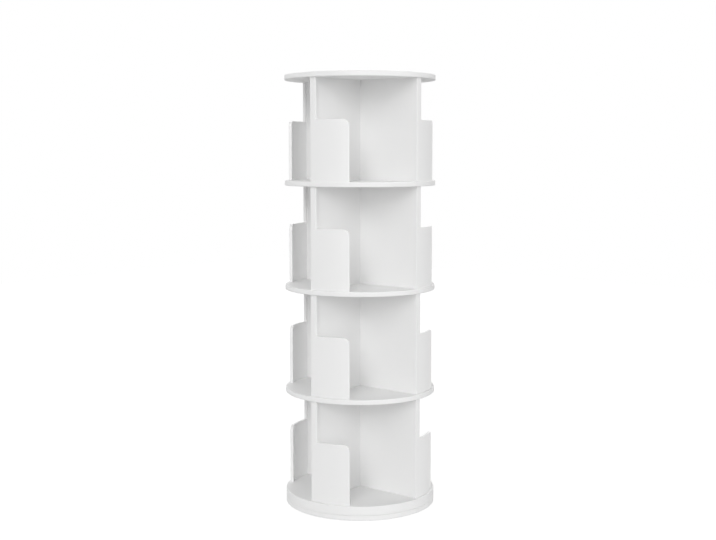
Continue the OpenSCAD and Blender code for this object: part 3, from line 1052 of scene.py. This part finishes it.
# %% Screw surface
screw_columns = 36
screw_length = 21.5 * mm
screw_radius = 2.0 * mm
core_radius = 1.45 * mm
point_radius = 0.25 * mm
point_start = 17.5 * mm
screw_pitch = 1.8 * mm
screw_crest_width = 0.24
screw_rows = 92
# Heights between which the shank narrows to the core, and between which the crest rises
core_from, core_by = 6.4 * mm, 7.4 * mm
crest_from, crest_by = 6.8 * mm, 8.4 * mm
crest_falls_from = 18.0 * mm
crest_fall = 0.75
socket_half = 1.25 * mm
socket_depth = 1.5 * mm
socket_bevel = 0.15 * mm
# Radius and height of the head's rows, from its face to the plain shank
screw_head = np.array([(3.78, 0.0), (3.88, 0.12), (2.1, 2.1), (2.0, 2.3), (2.0, 6.0)]) * mm


def screw_surface():
    """Tube from the socket's floor over the head and down the shank to the point.

    The socket's radius is its half width over the cosine of the turn from the nearest flat.
    The shank's radius is its core plus a crest times the ridge, and both get less to the point.
    """
    turn = turns(screw_columns)
    from_flat = (turn + np.pi / 6) % (np.pi / 3) - np.pi / 6
    socket = socket_half / np.cos(from_flat)
    head = np.broadcast_to(screw_head[:, :1], (len(screw_head), screw_columns))
    along = np.linspace(core_from, screw_length, screw_rows)[:, None]
    core = core_radius - (core_radius - point_radius) * ramp(along, point_start, screw_length) ** 2
    core = core + (screw_radius - core_radius) * (1 - ramp(along, core_from, core_by))
    crest = (screw_radius - core) * ramp(along, crest_from, crest_by)
    crest = crest * (1 - crest_fall * ramp(along, crest_falls_from, screw_length))
    shank = core + crest * ridge(along, turn, screw_pitch, screw_crest_width)
    radius = np.concatenate([[socket, socket, socket + socket_bevel], head, shank])
    height = np.concatenate([[socket_depth, socket_bevel, 0], screw_head[:, 1], along[:, 0]])
    return tube(radius, height[:, None], screw_columns)


for node_name, body, way in (("inner_ring_screws", "base", -1), ("outer_ring_screws", "carousel", 1)):
    low, high = solids_of(nodes[node_name])
    screw_mesh = make_mesh(node_name, *copies(*screw_surface(), low, high, sign=way))
    add_piece(f"{node_name}_cut", screw_mesh, "zinc_fitting", body, node_name)
    print(f"{len(low)} screws for {node_name}")

# %% [markdown]
# ## Cam bolts
# A cam bolt has a head on a thin neck, which the cam nut grips and pulls. The bolts of the
# top and bottom boards end in a coarse thread. Those through the middle shelves have a head
# at each end and a knurled middle, to hold them with pliers. Both could be put together from
# cylinders; a single tube has no seams between thread, shank, neck and head.

# %% End bolts
bolt_columns = 48
bolt_radius = 3.5 * mm
bolt_core = 2.7 * mm
bolt_tip = 2.2 * mm
bolt_bite = 11.0 * mm
bolt_lead = 2.0 * mm
bolt_pitch = 3.0 * mm
bolt_crest_width = 0.3
thread_rows = 74
thread_top = 0.6 * mm
shank_from, shank_by = -0.6 * mm, 0.4 * mm
# Radius of the rows at shank, neck and head, and their height above the board
grip_rows = mm * np.array(
    [
        (3.5, 26.0),
        (2.8, 26.4),
        (2.3, 26.4),
        (2.3, 30.8),
        (2.7, 30.8),
        (3.5, 31.6),
        (3.5, 33.6),
        (2.7, 34.4),
    ]
)


def end_bolt_surface():
    """Tube up the thread in the board, the shank, the neck and the head.

    The thread's radius is its core plus what is left of the bolt's radius times the ridge.
    """
    along = np.linspace(-bolt_bite, thread_top, thread_rows)[:, None]
    lead = ramp(along, -bolt_bite, bolt_lead - bolt_bite)
    core = bolt_tip + (bolt_core - bolt_tip) * lead
    core = core + (bolt_radius - bolt_core) * ramp(along, shank_from, shank_by)
    crest = (bolt_radius - core) * lead
    thread = core + crest * ridge(along, turns(bolt_columns), bolt_pitch, bolt_crest_width)
    grip = np.broadcast_to(grip_rows[:, :1], (len(grip_rows), bolt_columns))
    height = np.concatenate([along, grip_rows[:, 1:]]) + bolt_bite
    return tube(np.concatenate([thread, grip]), height, bolt_columns)


low, high = solids_of(nodes["end_cam_bolts"])
inward = np.where(low[:, 2] + high[:, 2] < cad_high.z, 1, -1)
bolt_mesh = make_mesh("end_cam_bolts", *copies(*end_bolt_surface(), low, high, sign=inward))
add_piece("end_cam_bolts_cut", bolt_mesh, "zinc_fitting", "carousel", "end_cam_bolts")
print(f"{len(low)} end bolts")

# %% Through bolts
shelf_half = 7.5 * mm
knurl_end = 6.0 * mm
plain_start = 7.0 * mm
knurl_limit = (knurl_end + plain_start) / 2
knurl_depth = 0.15 * mm
knurl_count = 16


def through_bolt_surface():
    """Tube along half a bolt and its mirror image, with a knurled middle.

    The knurl takes half its depth times 1 - cos(16 t) off the radius.
    """
    middle = [(bolt_radius, 0.0), (bolt_radius, knurl_end), (bolt_radius, plain_start)]
    half = np.concatenate([middle, grip_rows + [0, shelf_half]])
    radius = np.concatenate([half[::-1, 0], half[1:, 0]])[:, None]
    height = np.concatenate([-half[::-1, 1], half[1:, 1]])[:, None]
    knurl = knurl_depth / 2 * (1 - np.cos(knurl_count * turns(bolt_columns)))
    radius = radius - knurl * (np.abs(height) < knurl_limit)
    return tube(radius, height - height.min(), bolt_columns)


low, high = solids_of(nodes["through_cam_bolts"])
bolt_mesh = make_mesh("through_cam_bolts", *copies(*through_bolt_surface(), low, high))
add_piece("through_cam_bolts_cut", bolt_mesh, "zinc_fitting", "carousel", "through_cam_bolts")
print(f"{len(low)} through bolts")

# %% [markdown]
# ## Dowels
# Beech dowels line the boards up. Grooves along them let glue and air escape when they are
# pushed in, and bevelled ends find the holes. Cutting twenty grooves out of a cylinder would
# be slow and leave ragged edges, so the radius is a circle's less a row of rounded grooves.
# Each point also stores where it lies in its own dowel, for the grain.

# %% Dowel surfaces
dowel_columns = 120
dowel_bevel = 0.8 * mm
groove_depth = 0.28 * mm
groove_count = 20
grain_step = 20.0 * mm


def dowel_surface(length, radius):
    """Tube with bevelled ends and grooves: r - depth max(0, cos 20 t)^2."""
    groove = groove_depth * np.clip(np.cos(groove_count * turns(dowel_columns)), 0, 1) ** 2
    ends = radius - dowel_bevel
    rings = np.array([ends, radius, radius, radius, ends])[:, None]
    height = np.array([0.0, dowel_bevel, length / 2, length - dowel_bevel, length])[:, None]
    return tube(rings - groove, height, dowel_columns)


for node_name in ("end_dowels", "through_dowels", "centre_dowels", "guard_dowels"):
    low, high = solids_of(nodes[node_name])
    size = high - low
    points, faces = dowel_surface(size.max(axis=1)[0], size.min(axis=1)[0] / 2)
    dowel_mesh = make_mesh(node_name, *copies(points, faces, low, high, np.argmax(size, axis=1)))
    own = (points + np.arange(len(low))[:, None, None] * grain_step).reshape(-1, 3)
    stored = dowel_mesh.attributes.new("grain", "FLOAT_VECTOR", "POINT")
    stored.data.foreach_set("vector", own.astype(np.float32).ravel())
    add_piece(f"{node_name}_fluted", dowel_mesh, "beech_dowel", "carousel", node_name)
    print(f"{len(low)} of {node_name}")

# %% [markdown]
# ## Boards, dividers and bearing
# The round boards, the dividers, the rings, the balls, their cage and the cam nuts keep the
# CAD model's own shape, because it is already that of the real pieces. Each takes the finish
# of its slot.

# %% Dress the CAD nodes
for node in nodes.values():
    slot = node.material_slots[0]
    slot.material = finishes[slot.material.name]
print(f"{len(nodes)} nodes dressed")
